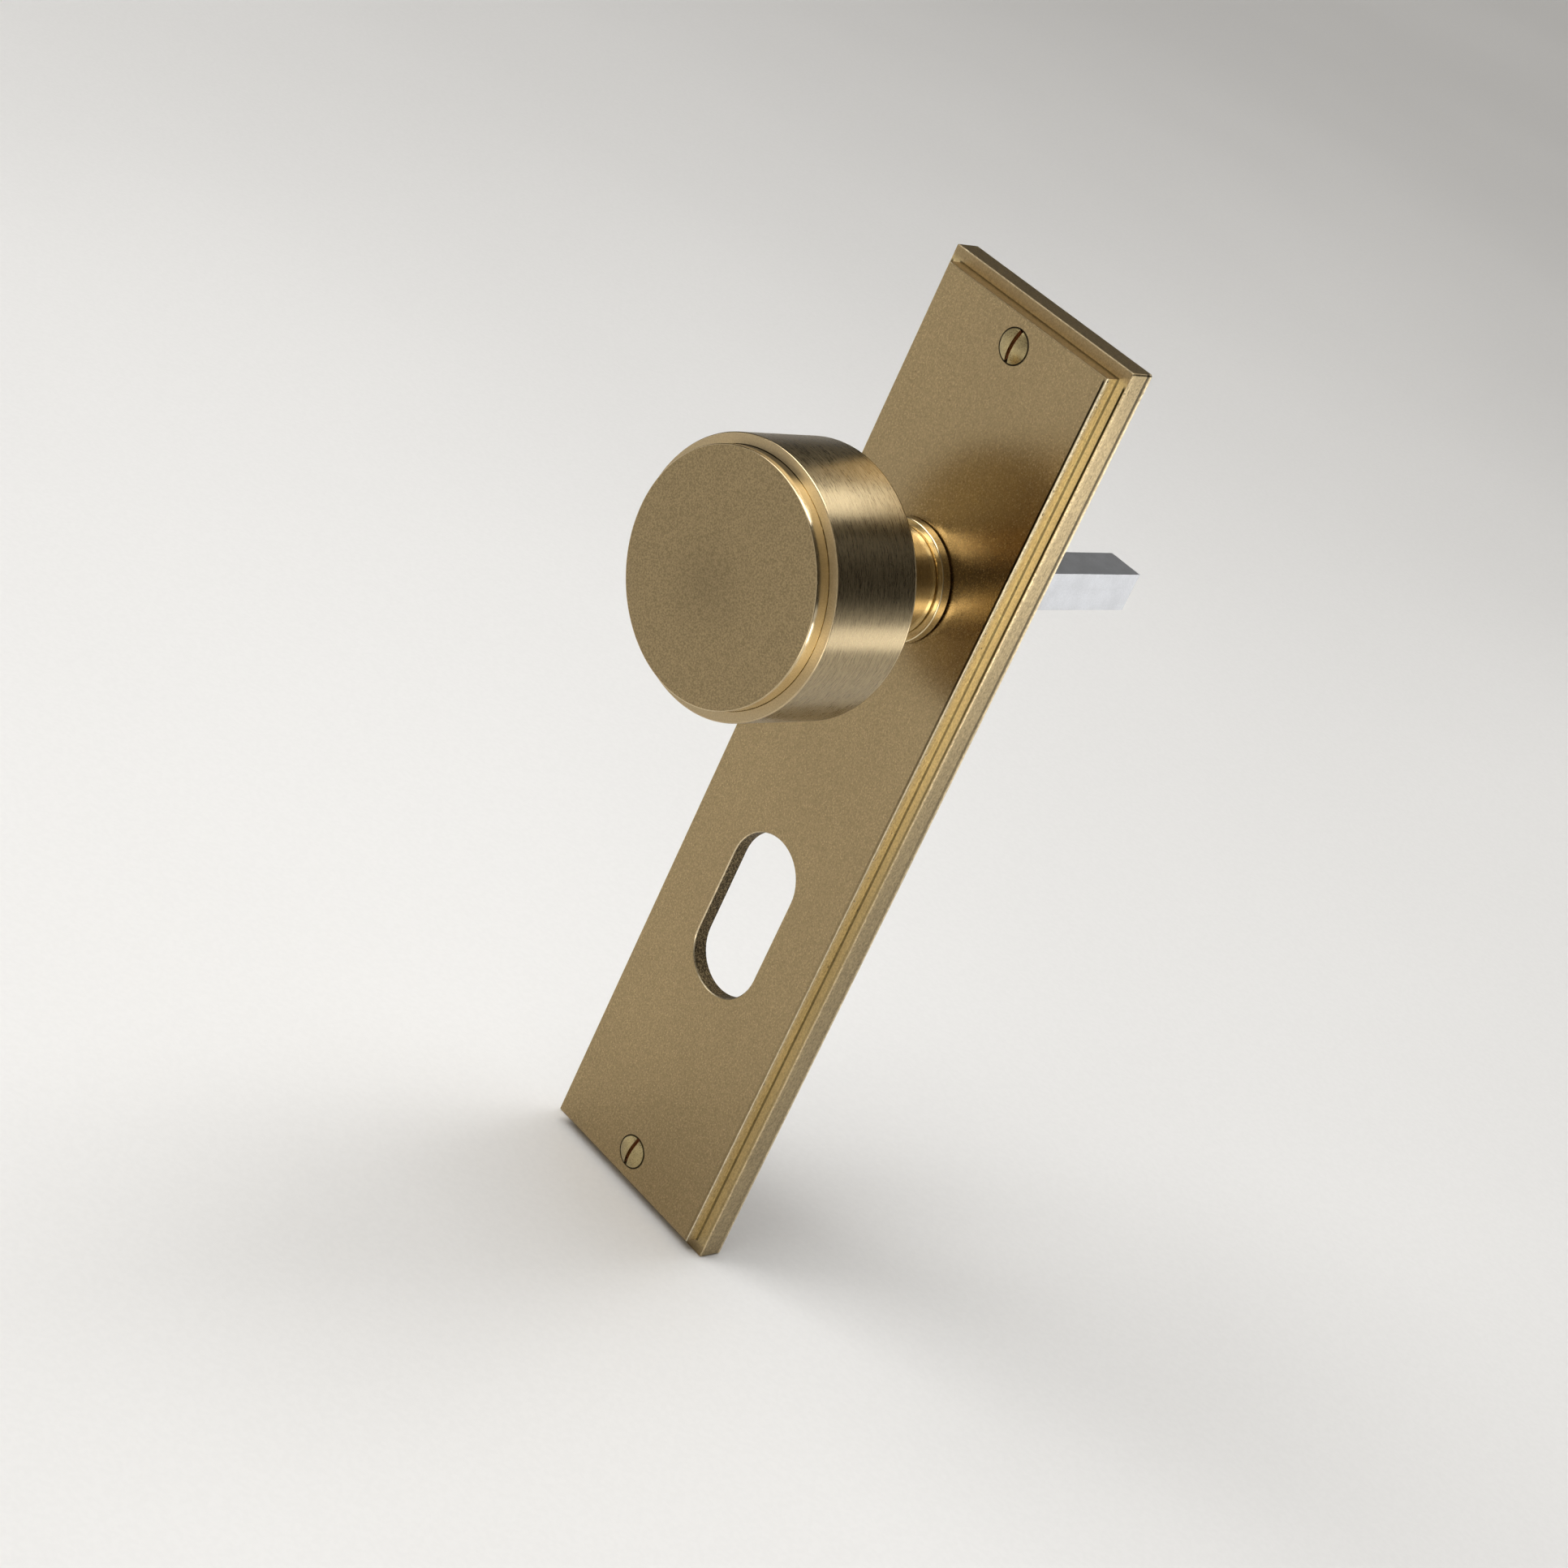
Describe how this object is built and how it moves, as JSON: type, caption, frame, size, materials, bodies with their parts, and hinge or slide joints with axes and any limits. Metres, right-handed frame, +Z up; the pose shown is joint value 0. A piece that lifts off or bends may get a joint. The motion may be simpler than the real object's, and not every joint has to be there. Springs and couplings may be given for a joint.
{
  "type": "door knob on backplate",
  "caption": "Satin brass cylindrical door knob on a long stepped backplate, with a cut-out for a lock cylinder, a sprung square spindle and wood screws.",
  "frame": {"origin": "on the knob's axis, at the plane of the backplate's back face, where it meets the door", "axes": "+Z up along the plate, +X to the right seen from the front, +Y into the door; the knob stands out along -Y"},
  "size_m": [0.05, 0.111, 0.196],
  "materials": {
    "satin_brass": "brushed satin",
    "screw_brass": "polished",
    "steel": "zinc plated",
    "spring_steel": "oiled spring wire",
    "dark_steel": "blackened",
    "white_plastic": "acetal",
    "dark_plastic": "nylon",
    "black_rubber": "matt"
  },
  "bodies": {
    "plate": {"backplate": "satin_brass", "bearing_bush": "white_plastic", "thrust_washer": "dark_plastic", "stop_pins": "steel", "spring_posts": "steel", "return_spring": "spring_steel", "fixing_screws": "screw_brass"},
    "knob": {"knob_shell": "satin_brass", "face_cap": "satin_brass", "cap_seal": "black_rubber", "neck": "satin_brass", "drive_pins": "steel", "lock_washer": "steel", "clamp_nut": "steel", "collar_ring": "satin_brass", "bearing_washer": "dark_plastic", "driver_plate": "steel", "retaining_ring": "spring_steel", "spindle": "steel", "grub_screw": "dark_steel"}
  },
  "joints": [
    {"name": "knob_turn", "type": "hinge", "parent": "plate", "child": "knob", "pos_m": [0, 0, 0], "axis": [0, 1, 0], "range_deg": [-60, 60], "stiffness_Nm_per_rad": 0.131, "deforming": ["return_spring"]}
  ]
}
